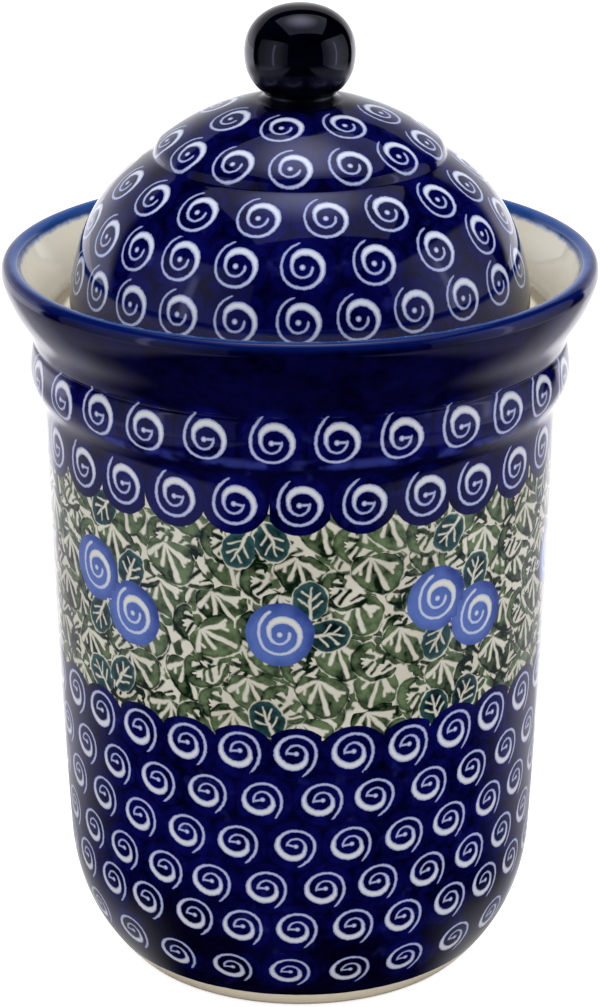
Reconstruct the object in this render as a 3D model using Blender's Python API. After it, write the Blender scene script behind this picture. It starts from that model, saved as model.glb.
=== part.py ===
"""Stoneware kitchen canister: a tall turned jar with a gallery inside its rim, and a domed lid with a ball knob.

Metres, +Z up. The origin is the centre of the foot, on the surface that the canister stands on.
Every piece is turned about Z from a half section of (radius, height) points.
"""

import math

import bmesh
import bpy

# How finely the turned pieces are cut
JAR_SEGMENTS = 56
LID_SEGMENTS = 56
KNOB_SEGMENTS = 32
WELD_DISTANCE = 0.00001
SHARP_ANGLE = math.radians(50)

# Clearances between the pieces, and the ledge under the lid
SEAT_GAP = 0.0003
FLANGE_CLEARANCE = 0.0012
LID_CLEARANCE = 0.0049
LEDGE_BEARING = 0.0069

# Jar, outside, from the ground up
FOOT_RADIUS = 0.0526
FOOT_EDGE_ROUND = 0.0008
HEEL_HEIGHT = 0.0374
HEEL_RADIUS = 0.0670
HEEL_FULLNESS_HEIGHT = 0.0154
HEEL_FULLNESS_RADIUS = 0.0665
BELLY_HEIGHT = 0.0890
BELLY_RADIUS = 0.0700
BODY_HEIGHT = 0.1635
BODY_RADIUS = 0.0713
COLLAR_HEIGHT = 0.0192
COLLAR_BULGE = 0.0039
COLLAR_UNDERCUT = 0.0062
GROOVE_WIDTH = 0.0016
GROOVE_DEPTH = 0.0009
NECK_RADIUS = 0.0743
FLARE_HEIGHT = 0.0223
RIM_RADIUS = 0.0825

# Jar, walls and inside
WALL = 0.0055
FLOOR = 0.0075
FOOT_RING_WIDTH = 0.0068
FOOT_RECESS = 0.0020
LIP_WIDTH = 0.0053
LIP_OUTER_DROP = 0.0036
LIP_INNER_DROP = 0.0024
LEDGE_DEPTH = 0.0171
GALLERY_EDGE = 0.0050
GALLERY_TAPER = 0.0140
GALLERY_ROUND = 0.0008

# Lid dome, from its seat up
LID_EDGE_ROUND = 0.0030
DOME_RISE = 0.0458
DOME_CURVE_WIDTH = 0.0392
RIDGE_RADIUS = 0.0400
SHOULDER_ROUND = 0.0050
CROWN_RADIUS = 0.0636
LID_WALL = 0.0045
FLANGE_DEPTH = 0.0090
FLANGE_THICKNESS = 0.0040
FLANGE_ROUND = 0.0009
VENT_RADIUS = 0.0018

# Knob
KNOB_RADIUS = 0.0152
KNOB_UPPER_HEIGHT = 0.0130
KNOB_LOWER_HEIGHT = 0.0139
KNOB_NECK_RADIUS = 0.0102
KNOB_FOOT_RADIUS = 0.0112
KNOB_NECK_HEIGHT = 0.0015
KNOB_WALL = 0.0045

# Sizes that follow: the lid stands on the ledge inside the flared rim, and its flange drops into the mouth
LID_RADIUS = NECK_RADIUS - WALL - LID_CLEARANCE
MOUTH_RADIUS = LID_RADIUS - LEDGE_BEARING
GROOVE_BOTTOM = BODY_HEIGHT + COLLAR_HEIGHT
FLARE_BOTTOM = GROOVE_BOTTOM + GROOVE_WIDTH
JAR_HEIGHT = FLARE_BOTTOM + FLARE_HEIGHT
LEDGE_HEIGHT = JAR_HEIGHT - LEDGE_DEPTH

# Where a curve between two points bulges to, as shares of the way from the one to the other
FLARE_TURN_SHARES = (0.36, 0.36)
FLARE_LOW_SHARES = (0.07, 0.17)
FLARE_HIGH_SHARES = (0.89, 0.71)
RIM_INSIDE_SHARES = (0.63, 0.48)
COLLAR_TURN_SHARE = 0.5
FLOOR_FLAT_SHARE = 0.65
INSIDE_BLEND_SHARE = 0.22

# A round form's power: 2 is a true ellipse, and more is fuller
KNOB_FULLNESS = 2.2


def between(start, end, shares):
    """The point that lies those shares of the way from start to end, in radius and in height."""
    return tuple(a + (b - a) * share for a, b, share in zip(start, end, shares))


def bend(start, corner, end, steps):
    """Points of a smooth curve that leaves start towards corner and comes to end from corner, start left out."""
    points = []
    for step in range(1, steps + 1):
        t = step / steps
        points.append(
            tuple((1 - t) ** 2 * a + 2 * t * (1 - t) * b + t**2 * c for a, b, c in zip(start, corner, end))
        )
    return points


def arc(centre, radii, start_angle, end_angle, steps):
    """Points of an elliptical arc, both ends kept. Angle 0 points outwards and a right angle points up."""
    points = []
    for step in range(steps + 1):
        angle = start_angle + (end_angle - start_angle) * step / steps
        points.append((centre[0] + radii[0] * math.cos(angle), centre[1] + radii[1] * math.sin(angle)))
    return points


def heel_curve(steps):
    """The rounded heel, from the foot's edge up to the wall."""
    corner = (HEEL_FULLNESS_RADIUS, HEEL_FULLNESS_HEIGHT)
    return bend((FOOT_RADIUS, FOOT_EDGE_ROUND), corner, (HEEL_RADIUS, HEEL_HEIGHT), steps)


def wall_curve(inset, steps):
    """The slightly swelling wall from the heel to the collar, moved towards the axis by inset."""
    start = (HEEL_RADIUS - inset, HEEL_HEIGHT)
    corner = (BELLY_RADIUS - inset, BELLY_HEIGHT)
    return bend(start, corner, (BODY_RADIUS - inset, BODY_HEIGHT), steps)


def collar_curve():
    """The raised collar band, from its underside up to the groove below the flare."""
    crest_radius = BODY_RADIUS + COLLAR_BULGE
    start = (BODY_RADIUS, BODY_HEIGHT)
    turn = (BODY_RADIUS + COLLAR_BULGE * COLLAR_TURN_SHARE, BODY_HEIGHT + COLLAR_UNDERCUT)
    crest = (crest_radius, BODY_HEIGHT + 2 * COLLAR_UNDERCUT)
    top = (NECK_RADIUS, GROOVE_BOTTOM)
    points = bend(start, between(start, turn, (0, COLLAR_TURN_SHARE)), turn, 3)
    points += bend(turn, between(turn, crest, (1, COLLAR_TURN_SHARE)), crest, 3)
    return points + bend(crest, between(crest, top, (0, COLLAR_TURN_SHARE)), top, 3)


def flare_curve():
    """The flared rim's outside, from the groove up to the widest part of the lip."""
    start = (NECK_RADIUS, FLARE_BOTTOM)
    end = (RIM_RADIUS, JAR_HEIGHT - LIP_OUTER_DROP)
    turn = between(start, end, FLARE_TURN_SHARES)
    points = bend(start, between(start, end, FLARE_LOW_SHARES), turn, 3)
    return points + bend(turn, between(start, end, FLARE_HIGH_SHARES), end, 5)


def lip_curve():
    """The rolled lip, from its widest part over the top to the inside."""
    outer = (RIM_RADIUS, JAR_HEIGHT - LIP_OUTER_DROP)
    top = (RIM_RADIUS - LIP_WIDTH / 2, JAR_HEIGHT)
    inner = (RIM_RADIUS - LIP_WIDTH, JAR_HEIGHT - LIP_INNER_DROP)
    return bend(outer, (outer[0], top[1]), top, 4) + bend(top, (inner[0], top[1]), inner, 3)


def jar_outside():
    """The jar's outer side, from the foot's edge up to the inner side of the lip."""
    groove = (NECK_RADIUS - GROOVE_DEPTH, (GROOVE_BOTTOM + FLARE_BOTTOM) / 2)
    points = [(FOOT_RADIUS, FOOT_EDGE_ROUND)]
    points += heel_curve(6) + wall_curve(0, 5) + collar_curve()
    points += [groove, (NECK_RADIUS, FLARE_BOTTOM)]
    return points + flare_curve() + lip_curve()


def jar_inside():
    """The jar's inner side, from the lip down over the gallery and the wall to the centre of the floor."""
    lip = (RIM_RADIUS - LIP_WIDTH, JAR_HEIGHT - LIP_INNER_DROP)
    ledge_outer = (NECK_RADIUS + GALLERY_ROUND - WALL, LEDGE_HEIGHT)
    rim_foot = (ledge_outer[0] + GALLERY_ROUND, LEDGE_HEIGHT + GALLERY_ROUND)
    ledge_inner = (MOUTH_RADIUS + GALLERY_ROUND, LEDGE_HEIGHT)
    mouth_top = (MOUTH_RADIUS, LEDGE_HEIGHT - GALLERY_ROUND)
    mouth_bottom = (MOUTH_RADIUS, LEDGE_HEIGHT - GALLERY_EDGE)
    taper_bottom = (BODY_RADIUS - WALL, LEDGE_HEIGHT - GALLERY_EDGE - GALLERY_TAPER)
    taper_corner = (taper_bottom[0], (taper_bottom[1] + mouth_bottom[1]) / 2)
    floor_edge = (FLOOR_FLAT_SHARE * (HEEL_RADIUS - WALL), FLOOR)
    floor_corner = (HEEL_RADIUS - WALL, FLOOR)
    points = bend(lip, between(lip, rim_foot, RIM_INSIDE_SHARES), rim_foot, 5)
    points += [ledge_outer, ledge_inner, mouth_top, mouth_bottom]
    points += bend(mouth_bottom, taper_corner, taper_bottom, 4)
    points += wall_curve(WALL, 5)[::-1] + [(HEEL_RADIUS - WALL, HEEL_HEIGHT)]
    points += bend((HEEL_RADIUS - WALL, HEEL_HEIGHT), floor_corner, floor_edge, 5)
    return points + [(0, FLOOR)]


def jar_underside():
    """The foot ring and the shallow recess inside it, from the centre out to the foot's edge."""
    ring_inner = FOOT_RADIUS - FOOT_EDGE_ROUND - FOOT_RING_WIDTH
    return [
        (0, FOOT_RECESS),
        (ring_inner - FOOT_RECESS, FOOT_RECESS),
        (ring_inner - FOOT_EDGE_ROUND / 2, FOOT_EDGE_ROUND / 2),
        (ring_inner, 0),
        (FOOT_RADIUS - FOOT_EDGE_ROUND, 0),
    ]


def dome_height(radius, inset):
    """Height of the lower dome's curve above the lid's widest part at that radius, with its wall inset."""
    run = (radius - (LID_RADIUS - DOME_CURVE_WIDTH)) / (DOME_CURVE_WIDTH - inset)
    return (DOME_RISE - inset) * math.sqrt(1 - run**2)


def crown_shape():
    """Height of the shoulder's centre, height of the crown's centre and the angle where the two arcs meet."""
    shoulder_height = LID_EDGE_ROUND + dome_height(RIDGE_RADIUS, 0)
    across = RIDGE_RADIUS - SHOULDER_ROUND
    rise = math.sqrt((CROWN_RADIUS - SHOULDER_ROUND) ** 2 - across**2)
    return shoulder_height, shoulder_height - rise, math.atan2(rise, across)


def knob_seat_height():
    """Height above the lid's seat of the small flat on the crown that carries the knob."""
    return crown_shape()[1] + math.sqrt(CROWN_RADIUS**2 - KNOB_FOOT_RADIUS**2)


def lid_section():
    """The lid shell's closed half section, with its seat at height 0: down the outside, then back up inside."""
    shoulder_height, crown_height, meeting_angle = crown_shape()
    dome_centre = (LID_RADIUS - DOME_CURVE_WIDTH, LID_EDGE_ROUND)
    crease_angle = math.acos((RIDGE_RADIUS - dome_centre[0]) / DOME_CURVE_WIDTH)
    flat_angle = math.acos(KNOB_FOOT_RADIUS / CROWN_RADIUS)
    flange_outer = MOUTH_RADIUS - FLANGE_CLEARANCE
    flange_inner = flange_outer - FLANGE_THICKNESS
    inner_crown = CROWN_RADIUS - LID_WALL
    inner_dome = (DOME_CURVE_WIDTH - LID_WALL, DOME_RISE - LID_WALL)
    blend_angle = math.pi / 2 * INSIDE_BLEND_SHARE
    blend_start = arc(dome_centre, inner_dome, blend_angle, blend_angle, 1)[0]
    inner_crease_angle = math.acos(RIDGE_RADIUS / (dome_centre[0] + inner_dome[0]))
    inner_meeting_angle = math.acos((RIDGE_RADIUS - SHOULDER_ROUND) / inner_crown)

    points = arc((0, crown_height), (CROWN_RADIUS, CROWN_RADIUS), flat_angle, meeting_angle, 6)
    shoulder_centre = (RIDGE_RADIUS - SHOULDER_ROUND, shoulder_height)
    points += arc(shoulder_centre, (SHOULDER_ROUND, SHOULDER_ROUND), meeting_angle, 0, 4)[1:]
    points += arc(dome_centre, (DOME_CURVE_WIDTH, DOME_RISE), crease_angle, 0, 10)[1:]
    points += bend((LID_RADIUS, LID_EDGE_ROUND), (LID_RADIUS, 0), (LID_RADIUS - LID_EDGE_ROUND, 0), 4)
    points += [
        (flange_outer + FLANGE_ROUND, 0),
        (flange_outer, -FLANGE_ROUND),
        (flange_outer, FLANGE_ROUND - FLANGE_DEPTH),
        (flange_outer - FLANGE_ROUND, -FLANGE_DEPTH),
        (flange_inner + FLANGE_ROUND, -FLANGE_DEPTH),
        (flange_inner, FLANGE_ROUND - FLANGE_DEPTH),
    ]
    points += bend(points[-1], (flange_inner, 0), blend_start, 4)
    points += arc(dome_centre, inner_dome, blend_angle, inner_crease_angle, 5)[1:]
    points += arc((0, crown_height), (inner_crown, inner_crown), inner_meeting_angle, math.pi / 2, 6)[:-1]
    vent_height = crown_height + math.sqrt(inner_crown**2 - VENT_RADIUS**2)
    return points + [(VENT_RADIUS, vent_height), (VENT_RADIUS, knob_seat_height())]


def rounded(across, up, angle):
    """The point at that angle of a form that is a little fuller than an ellipse of those half sizes."""
    power = 2 / KNOB_FULLNESS
    height = up * math.copysign(abs(math.sin(angle)) ** power, angle)
    return across * abs(math.cos(angle)) ** power, height


def ball(inset, bottom_radius, steps):
    """The knob's ball about its own centre, from the top down to where it has narrowed to bottom_radius."""
    across = KNOB_RADIUS - inset
    lowest = -math.acos((bottom_radius / across) ** (KNOB_FULLNESS / 2))
    points = []
    for step in range(steps + 1):
        angle = math.pi / 2 + (lowest - math.pi / 2) * step / steps
        up = (KNOB_UPPER_HEIGHT if angle > 0 else KNOB_LOWER_HEIGHT) - inset
        points.append(rounded(across, up, angle))
    return [(0, points[0][1])] + points[1:]


def knob_section():
    """The hollow knob's half section, with the underside of its foot at height 0, open below."""
    throat_radius = KNOB_NECK_RADIUS - KNOB_WALL
    outside = ball(0, KNOB_NECK_RADIUS, 13)
    inside = ball(KNOB_WALL, throat_radius, 8)[::-1]
    centre = KNOB_NECK_HEIGHT - outside[-1][1]
    points = [(radius, centre + height) for radius, height in outside]
    points += [(KNOB_FOOT_RADIUS, 0), (throat_radius, 0)]
    return points + [(radius, centre + height) for radius, height in inside]


def glaze(name, colour, roughness):
    """A glossy glaze over stoneware."""
    material = bpy.data.materials.new(name)
    material.use_nodes = True
    shader = material.node_tree.nodes["Principled BSDF"]
    shader.inputs["Base Color"].default_value = (*colour, 1)
    shader.inputs["Roughness"].default_value = roughness
    shader.inputs["Metallic"].default_value = 0
    material.diffuse_color = (*colour, 1)
    return material


def turned(name, section, segments, material, closed=False):
    """One solid turned about Z from its half section. A closed section makes a ring, an open one ends on the axis."""
    form = bmesh.new()
    points = [form.verts.new((radius, 0, height)) for radius, height in section]
    ends = points[1:] + points[:1] if closed else points[1:]
    edges = [form.edges.new(pair) for pair in zip(points, ends)]
    bmesh.ops.spin(
        form,
        geom=points + edges,
        axis=(0, 0, 1),
        cent=(0, 0, 0),
        angle=2 * math.pi,
        steps=segments,
        use_merge=True,
    )
    bmesh.ops.remove_doubles(form, verts=form.verts, dist=WELD_DISTANCE)
    bmesh.ops.recalc_face_normals(form, faces=form.faces)
    mesh = bpy.data.meshes.new(name)
    form.to_mesh(mesh)
    form.free()
    mesh.materials.append(material)
    mesh.shade_smooth()
    mesh.set_sharp_from_angle(angle=SHARP_ANGLE)
    piece = bpy.data.objects.new(name, mesh)
    bpy.context.scene.collection.objects.link(piece)
    return piece


def make_jar():
    """The jar: its inner side, its outer side and its underside in one section, from axis to axis."""
    section = jar_inside()[::-1] + jar_outside()[::-1] + jar_underside()[::-1]
    return turned("jar_body", section, JAR_SEGMENTS, glaze("jar_glaze", (0.009, 0.006, 0.115), 0.08))


def make_lid():
    """The lid shell and its knob, on an empty at the lid's seat, which is what lifts."""
    seat = bpy.data.objects.new("lid_seat", None)
    seat.location = (0, 0, LEDGE_HEIGHT + SEAT_GAP)
    bpy.context.scene.collection.objects.link(seat)
    dome = turned("lid_dome", lid_section(), LID_SEGMENTS, glaze("lid_glaze", (0.008, 0.005, 0.1), 0.08), True)
    dome.parent = seat
    knob = turned("lid_knob", knob_section(), KNOB_SEGMENTS, glaze("knob_glaze", (0.003, 0.003, 0.014), 0.05))
    knob.location = (0, 0, knob_seat_height() + SEAT_GAP)
    knob.parent = seat
    return seat


def main():
    for thing in list(bpy.data.objects):
        bpy.data.objects.remove(thing)
    make_jar()
    make_lid()


main()
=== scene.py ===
"""Looks of the stoneware canister: turned forms under glaze, with a stamped pattern that material nodes draw.

Forms are in metres and the pattern in millimetres. Angles round the jar go from the front (-Y) towards +X.
"""

import math
import random
from functools import partialmethod

import bpy
import numpy as np
from mathutils import Matrix


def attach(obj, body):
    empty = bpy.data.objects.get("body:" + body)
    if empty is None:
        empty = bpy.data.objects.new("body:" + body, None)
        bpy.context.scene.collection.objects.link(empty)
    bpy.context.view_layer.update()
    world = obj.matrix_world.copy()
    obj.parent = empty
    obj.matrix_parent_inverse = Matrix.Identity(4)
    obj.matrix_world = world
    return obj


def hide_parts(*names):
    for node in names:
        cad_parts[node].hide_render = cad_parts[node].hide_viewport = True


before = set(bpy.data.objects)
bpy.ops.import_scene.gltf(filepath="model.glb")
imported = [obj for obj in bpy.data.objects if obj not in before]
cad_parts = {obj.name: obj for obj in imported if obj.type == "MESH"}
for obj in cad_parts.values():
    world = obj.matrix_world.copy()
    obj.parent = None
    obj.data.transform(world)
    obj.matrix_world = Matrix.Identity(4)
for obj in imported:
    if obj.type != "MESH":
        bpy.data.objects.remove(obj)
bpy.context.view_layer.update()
scene = bpy.context.scene

# ------ sizes of the forms, as in the frame (m)

FOOT_RADIUS = 0.0526
FOOT_EDGE_ROUND = 0.0008
HEEL_HEIGHT = 0.0374
HEEL_RADIUS = 0.0670
HEEL_FULLNESS = (0.0665, 0.0154)
BELLY = (0.0700, 0.0890)
BODY_HEIGHT = 0.1635
BODY_RADIUS = 0.0713
COLLAR_HEIGHT = 0.0192
COLLAR_BULGE = 0.0039
COLLAR_UNDERCUT = 0.0062
GROOVE_WIDTH = 0.0016
GROOVE_DEPTH = 0.0009
NECK_RADIUS = 0.0743
FLARE_HEIGHT = 0.0223
RIM_RADIUS = 0.0825
WALL = 0.0055
FLOOR = 0.0075
FOOT_RING_WIDTH = 0.0068
FOOT_RECESS = 0.0020
LIP_WIDTH = 0.0053
LIP_OUTER_DROP = 0.0036
LIP_INNER_DROP = 0.0024
LEDGE_DEPTH = 0.0171
GALLERY_EDGE = 0.0050
GALLERY_TAPER = 0.0140
GALLERY_ROUND = 0.0008
SEAT_GAP = 0.0003
LID_RADIUS = 0.0639
MOUTH_RADIUS = 0.0570
LID_EDGE_ROUND = 0.0030
DOME_RISE = 0.0458
DOME_CURVE_WIDTH = 0.0392
RIDGE_RADIUS = 0.0400
SHOULDER_ROUND = 0.0050
CROWN_RADIUS = 0.0636
LID_WALL = 0.0045
FLANGE_DEPTH = 0.0090
FLANGE_THICKNESS = 0.0040
FLANGE_ROUND = 0.0009
FLANGE_CLEARANCE = 0.0012
VENT_RADIUS = 0.0018
KNOB_RADIUS = 0.0152
KNOB_UPPER_HEIGHT = 0.0130
KNOB_LOWER_HEIGHT = 0.0139
KNOB_NECK_RADIUS = 0.0102
KNOB_FOOT_RADIUS = 0.0112
KNOB_NECK_HEIGHT = 0.0015
KNOB_WALL = 0.0045
KNOB_POWER = 2.2
KNOB_GLAZE_WAIST = 0.0005
KNOB_GLAZE_SKIRT = 0.0014
KNOB_GLAZE_SINK = 0.0006
KNOB_GLAZE_HOLLOW = (0.0003, 0.0002)
KNOB_WAIST_SHARE = 0.7

# where a curve between two points bulges to, as shares of the way from the one to the other
FLARE_TURN_SHARES = (0.36, 0.36)
FLARE_LOW_SHARES = (0.07, 0.17)
FLARE_HIGH_SHARES = (0.89, 0.71)
RIM_INSIDE_SHARES = (0.63, 0.48)
COLLAR_TURN_SHARE = 0.5
FLOOR_FLAT_SHARE = 0.65
INSIDE_BLEND_SHARE = 0.22

DOME_CENTRE = (LID_RADIUS - DOME_CURVE_WIDTH, LID_EDGE_ROUND)
GROOVE_BOTTOM = BODY_HEIGHT + COLLAR_HEIGHT
FLARE_BOTTOM = GROOVE_BOTTOM + GROOVE_WIDTH
JAR_HEIGHT = FLARE_BOTTOM + FLARE_HEIGHT
LEDGE_HEIGHT = JAR_HEIGHT - LEDGE_DEPTH
SEAT_HEIGHT = LEDGE_HEIGHT + SEAT_GAP

SEGMENTS = 224
KNOB_SEGMENTS = 96
KNOB_SPACING = 0.0012
STEPS = 16
FINE = 0.00025
GLAZE_ROUND = 0.0004
MOST_TURN = math.radians(7)
MM = 0.001


# ------ half sections, (radius, height) in metres


def between(start, end, shares):
    """The point that lies those shares of the way from start to end."""
    return tuple(a + (b - a) * share for a, b, share in zip(start, end, shares))


def bend(start, corner, end):
    """Points of a smooth curve from start towards corner and on to end, start left out."""
    axes = list(zip(start, corner, end))
    shares = [step / STEPS for step in range(1, STEPS + 1)]
    return [tuple((1 - t) ** 2 * a + 2 * t * (1 - t) * b + t**2 * c for a, b, c in axes) for t in shares]


def arc(centre, radii, start, end):
    """Points of an elliptical arc, both ends kept. Angle 0 points outwards and a right angle points up."""
    turns = [start + (end - start) * step / (2 * STEPS) for step in range(2 * STEPS + 1)]
    return [(centre[0] + radii[0] * math.cos(t), centre[1] + radii[1] * math.sin(t)) for t in turns]


def wall_curve(inset):
    """The slightly swelling wall from the heel to the collar, moved towards the axis by inset."""
    return bend(
        (HEEL_RADIUS - inset, HEEL_HEIGHT), (BELLY[0] - inset, BELLY[1]), (BODY_RADIUS - inset, BODY_HEIGHT)
    )


def jar_outside():
    """The jar's outer side, from the foot's edge up to the top of the lip."""
    foot = (FOOT_RADIUS, FOOT_EDGE_ROUND)
    points = [foot] + bend(foot, HEEL_FULLNESS, (HEEL_RADIUS, HEEL_HEIGHT)) + wall_curve(0)
    start = (BODY_RADIUS, BODY_HEIGHT)
    turn = (BODY_RADIUS + COLLAR_BULGE / 2, BODY_HEIGHT + COLLAR_UNDERCUT)
    crest = (BODY_RADIUS + COLLAR_BULGE, BODY_HEIGHT + 2 * COLLAR_UNDERCUT)
    top = (NECK_RADIUS, GROOVE_BOTTOM)
    points += bend(start, between(start, turn, (0, COLLAR_TURN_SHARE)), turn)
    points += bend(turn, between(turn, crest, (1, COLLAR_TURN_SHARE)), crest)
    points += bend(crest, between(crest, top, (0, COLLAR_TURN_SHARE)), top)
    points += [(NECK_RADIUS - GROOVE_DEPTH, (GROOVE_BOTTOM + FLARE_BOTTOM) / 2)]
    start = (NECK_RADIUS, FLARE_BOTTOM)
    end = (RIM_RADIUS, JAR_HEIGHT - LIP_OUTER_DROP)
    turn = between(start, end, FLARE_TURN_SHARES)
    points += [start] + bend(start, between(start, end, FLARE_LOW_SHARES), turn)
    points += bend(turn, between(start, end, FLARE_HIGH_SHARES), end)
    return points + bend(end, (end[0], JAR_HEIGHT), (RIM_RADIUS - LIP_WIDTH / 2, JAR_HEIGHT))


def jar_inside():
    """The jar's inner side, from the top of the lip down to the centre of the floor."""
    top = (RIM_RADIUS - LIP_WIDTH / 2, JAR_HEIGHT)
    lip = (RIM_RADIUS - LIP_WIDTH, JAR_HEIGHT - LIP_INNER_DROP)
    ledge_outer = (NECK_RADIUS + GALLERY_ROUND - WALL, LEDGE_HEIGHT)
    rim_foot = (ledge_outer[0] + GALLERY_ROUND, LEDGE_HEIGHT + GALLERY_ROUND)
    mouth_bottom = (MOUTH_RADIUS, LEDGE_HEIGHT - GALLERY_EDGE)
    taper_bottom = (BODY_RADIUS - WALL, mouth_bottom[1] - GALLERY_TAPER)
    heel = (HEEL_RADIUS - WALL, HEEL_HEIGHT)
    points = bend(top, (lip[0], JAR_HEIGHT), lip)
    points += bend(lip, between(lip, rim_foot, RIM_INSIDE_SHARES), rim_foot)
    points += [ledge_outer, (MOUTH_RADIUS + GALLERY_ROUND, LEDGE_HEIGHT)]
    points += [(MOUTH_RADIUS, LEDGE_HEIGHT - GALLERY_ROUND), mouth_bottom]
    points += bend(mouth_bottom, (taper_bottom[0], (taper_bottom[1] + mouth_bottom[1]) / 2), taper_bottom)
    points += wall_curve(WALL)[::-1] + [heel]
    return points + bend(heel, (heel[0], FLOOR), (FLOOR_FLAT_SHARE * heel[0], FLOOR)) + [(0, FLOOR)]


def jar_underside():
    """The foot ring and the recess inside it, from the centre out to the foot's edge."""
    ring = FOOT_RADIUS - FOOT_EDGE_ROUND - FOOT_RING_WIDTH
    points = [(0, FOOT_RECESS), (ring - FOOT_RECESS, FOOT_RECESS)]
    points += [(ring - FOOT_EDGE_ROUND / 2, FOOT_EDGE_ROUND / 2), (ring, 0)]
    return points + [(FOOT_RADIUS - FOOT_EDGE_ROUND, 0), (FOOT_RADIUS, FOOT_EDGE_ROUND)]


def dome_height(radius):
    """Height of the lower dome's curve above the lid's widest part at that radius."""
    run = (radius - DOME_CENTRE[0]) / DOME_CURVE_WIDTH
    return DOME_RISE * math.sqrt(1 - run**2)


def crown_shape():
    """Heights of the shoulder's and the crown's centres, and the angle where the two arcs meet."""
    shoulder = LID_EDGE_ROUND + dome_height(RIDGE_RADIUS)
    across = RIDGE_RADIUS - SHOULDER_ROUND
    rise = math.sqrt((CROWN_RADIUS - SHOULDER_ROUND) ** 2 - across**2)
    return shoulder, shoulder - rise, math.atan2(rise, across)


def knob_seat_height():
    """Height above the lid's seat of the small flat on the crown that carries the knob."""
    return crown_shape()[1] + math.sqrt(CROWN_RADIUS**2 - KNOB_FOOT_RADIUS**2)


def lid_outside():
    """The lid's outer side above its seat at height 0, from the seat up to the knob's flat."""
    shoulder, crown, meeting = crown_shape()
    crease = math.acos((RIDGE_RADIUS - DOME_CENTRE[0]) / DOME_CURVE_WIDTH)
    seat = (LID_RADIUS - LID_EDGE_ROUND, 0)
    points = [seat] + bend(seat, (LID_RADIUS, 0), (LID_RADIUS, LID_EDGE_ROUND))
    points += arc(DOME_CENTRE, (DOME_CURVE_WIDTH, DOME_RISE), 0, crease)[1:]
    points += arc((RIDGE_RADIUS - SHOULDER_ROUND, shoulder), (SHOULDER_ROUND,) * 2, 0, meeting)[1:]
    flat = math.acos(KNOB_FOOT_RADIUS / CROWN_RADIUS)
    return points + arc((0, crown), (CROWN_RADIUS,) * 2, meeting, flat)[1:]


def lid_inside():
    """The lid's vent, hollow and flange, from the knob's flat round to the seat."""
    crown = crown_shape()[1]
    outer = MOUTH_RADIUS - FLANGE_CLEARANCE
    inner = outer - FLANGE_THICKNESS
    inner_crown = CROWN_RADIUS - LID_WALL
    inner_dome = (DOME_CURVE_WIDTH - LID_WALL, DOME_RISE - LID_WALL)
    blend = math.pi / 2 * INSIDE_BLEND_SHARE
    start = arc(DOME_CENTRE, inner_dome, blend, blend)[0]
    crease = math.acos(RIDGE_RADIUS / (DOME_CENTRE[0] + inner_dome[0]))
    meeting = math.acos((RIDGE_RADIUS - SHOULDER_ROUND) / inner_crown)
    vent = crown + math.sqrt(inner_crown**2 - VENT_RADIUS**2)
    bottom = FLANGE_ROUND - FLANGE_DEPTH
    points = [(VENT_RADIUS, knob_seat_height()), (VENT_RADIUS, vent)]
    points += arc((0, crown), (inner_crown,) * 2, math.pi / 2, meeting)[1:]
    points += arc(DOME_CENTRE, inner_dome, crease, blend)
    points += bend(start, (inner, 0), (inner, bottom))
    points += [(inner + FLANGE_ROUND, -FLANGE_DEPTH), (outer - FLANGE_ROUND, -FLANGE_DEPTH), (outer, bottom)]
    return points + [(outer, -FLANGE_ROUND), (outer + FLANGE_ROUND, 0), (LID_RADIUS - LID_EDGE_ROUND, 0)]


def ball(inset, bottom_radius):
    """The knob's ball about its own centre, from its top down to bottom_radius."""
    across = KNOB_RADIUS - inset
    lowest = -math.acos((bottom_radius / across) ** (KNOB_POWER / 2))
    points = []
    for step in range(3 * STEPS + 1):
        angle = math.pi / 2 + (lowest - math.pi / 2) * step / (3 * STEPS)
        up = (KNOB_UPPER_HEIGHT if angle > 0 else KNOB_LOWER_HEIGHT) - inset
        rise = up * math.copysign(abs(math.sin(angle)) ** (2 / KNOB_POWER), angle)
        points.append((across * abs(math.cos(angle)) ** (2 / KNOB_POWER), rise))
    return [(0, points[0][1])] + points[1:]


def knob_section():
    """The hollow knob's half section above the crown's flat, from the inside's top to the outside's."""
    throat = KNOB_NECK_RADIUS - KNOB_WALL
    outside = ball(0, KNOB_NECK_RADIUS)
    centre = KNOB_NECK_HEIGHT - outside[-1][1]
    points = [(radius, centre + height) for radius, height in ball(KNOB_WALL, throat)]
    foot = (KNOB_FOOT_RADIUS + KNOB_GLAZE_SKIRT, -KNOB_GLAZE_SINK)
    waist = (KNOB_NECK_RADIUS - KNOB_GLAZE_WAIST, KNOB_NECK_HEIGHT * KNOB_WAIST_SHARE)
    above = [(radius, height) for radius, height in outside[::-1] if radius > KNOB_FOOT_RADIUS or height > 0]
    ball_side = [(radius, centre + height) for radius, height in above]
    points += [(throat, 0), foot]
    # the glaze draws the neck in and runs out on the crown
    points += bend(foot, (waist[0] + KNOB_GLAZE_HOLLOW[0], foot[1] + KNOB_GLAZE_HOLLOW[1]), waist)
    return points + bend(waist, (waist[0], 2 * waist[1]), ball_side[0]) + ball_side[1:]


# ------ turned meshes


def along(points):
    """The length along a line of points up to each of them."""
    steps = np.hypot(*np.diff(np.asarray(points), axis=0).T)
    return np.concatenate([[0], np.cumsum(steps)])


def dense(points, start=0.0):
    """A line of points as rows of (radius, height, length along it from start), FINE apart."""
    points = np.asarray(points, float)
    length = along(points)
    at = np.linspace(0, length[-1], max(2, round(length[-1] / FINE) + 1))
    return np.stack([np.interp(at, length, points[:, 0]), np.interp(at, length, points[:, 1]), start + at], 1)


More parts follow.
